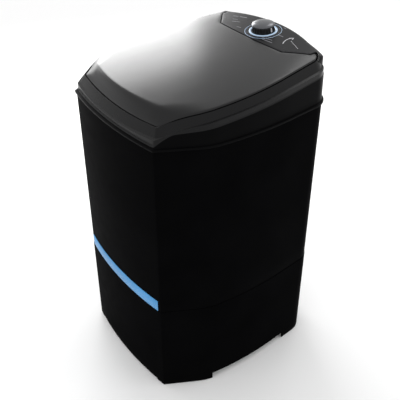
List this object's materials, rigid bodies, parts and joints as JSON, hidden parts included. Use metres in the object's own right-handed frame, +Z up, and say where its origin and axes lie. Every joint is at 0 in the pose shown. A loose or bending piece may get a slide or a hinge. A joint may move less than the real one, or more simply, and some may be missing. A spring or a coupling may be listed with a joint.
{
  "type": "top load washing machine",
  "caption": "Semi-automatic top load washer with bowed cabinet, sloping full-width lid, dial panel, hanging tub and belt-driven impeller.",
  "frame": {"origin": "on the floor, below the middle of the body's box", "axes": "+Z up, front faces -Y, +X to the right seen from the front"},
  "size_m": [0.4904, 0.5301, 0.8794],
  "materials": {
    "cabinet_plastic": "satin moulded black",
    "base_plastic": "satin moulded black",
    "cover_plastic": "semi-gloss moulded black",
    "lid_plastic": "glossy moulded black",
    "panel_plastic": null,
    "stripe_blue": "plain blue film",
    "ring_plastic": "pale blue translucent look",
    "knob_plastic": "black with finger grips",
    "cap_chrome": "satin silver",
    "tub_plastic": "dark grey polypropylene",
    "filter_frame": "grey",
    "filter_plastic": "blue",
    "impeller_plastic": "pale blue",
    "timer_case": "cream",
    "steel": "zinc plated",
    "galvanised": "galvanised sheet",
    "cast_alloy": "die cast",
    "bush_brass": "sintered bronze",
    "motor_paint": "dark grey paint",
    "belt_rubber": "black",
    "soft_rubber": "black",
    "loom_sleeve": "black sleeve",
    "hose_plastic": "grey corrugated"
  },
  "bodies": {
    "cabinet": {"upper_cabinet": "cabinet_plastic", "base_skirt": "base_plastic", "gland_plate": "base_plastic", "front_stripe": "stripe_blue", "top_cover": "cover_plastic", "lid_buffers": "soft_rubber", "lid_hinge_pins": "steel", "control_panel": "panel_plastic", "dial_ring": "ring_plastic", "timer_body": "timer_case", "timer_screws": "steel", "wash_tub": "tub_plastic", "tub_screws": "steel", "lint_filter_frame": "filter_frame", "bearing_housing": "cast_alloy", "shaft_bushes": "bush_brass", "shaft_seal": "soft_rubber", "housing_bolts": "steel", "drive_belt": "belt_rubber", "motor_body": "motor_paint", "motor_bracket": "galvanised", "bracket_bolts": "steel", "motor_grommets": "soft_rubber", "motor_bolts": "steel", "capacitor": "timer_case", "capacitor_clamp": "galvanised", "wiring_loom": "loom_sleeve", "rear_service_cover": "cabinet_plastic", "rear_cover_screws": "steel", "drain_hose": "hose_plastic", "hose_clamps": "steel", "drain_spigot": "tub_plastic", "cable_gland": "soft_rubber", "base_screws": "steel", "foot_pads": "soft_rubber"},
    "lid": {"lid": "lid_plastic"},
    "dial": {"timer_knob": "knob_plastic", "knob_cap": "cap_chrome", "timer_shaft": "steel"},
    "agitator": {"impeller": "impeller_plastic", "impeller_screw": "steel", "drive_shaft": "steel", "driven_pulley": "cast_alloy", "pulley_nut": "steel"},
    "motor_rotor": {"motor_shaft": "steel", "motor_pulley": "cast_alloy"},
    "filter": {"lint_filter": "filter_plastic"}
  },
  "joints": [
    {"name": "lid_hinge", "type": "hinge", "parent": "cabinet", "child": "lid", "pos_m": [0, 0.203, 0.8445], "axis": [-1, 0, 0], "range_deg": [0, 95]},
    {"name": "timer_turn", "type": "hinge", "parent": "cabinet", "child": "dial", "pos_m": [0, 0.1966, 0.85701], "axis": [0, 0.0837, -0.9965], "range_deg": [0, 330]},
    {"name": "agitator_spin", "type": "hinge", "parent": "cabinet", "child": "agitator", "pos_m": [0, -0.042, 0.24], "axis": [0, 0, 1], "continuous": true},
    {"name": "motor_spin", "type": "hinge", "parent": "cabinet", "child": "motor_rotor", "pos_m": [0, 0.13, 0.24], "axis": [0, 0, 1], "continuous": true},
    {"name": "filter_pull", "type": "slide", "parent": "cabinet", "child": "filter", "axis": [0, -1, 0], "range_m": [0, 0.06]}
  ],
  "couplings": [
    {"joint": "motor_spin", "follows": "agitator_spin", "ratio": 4}
  ]
}
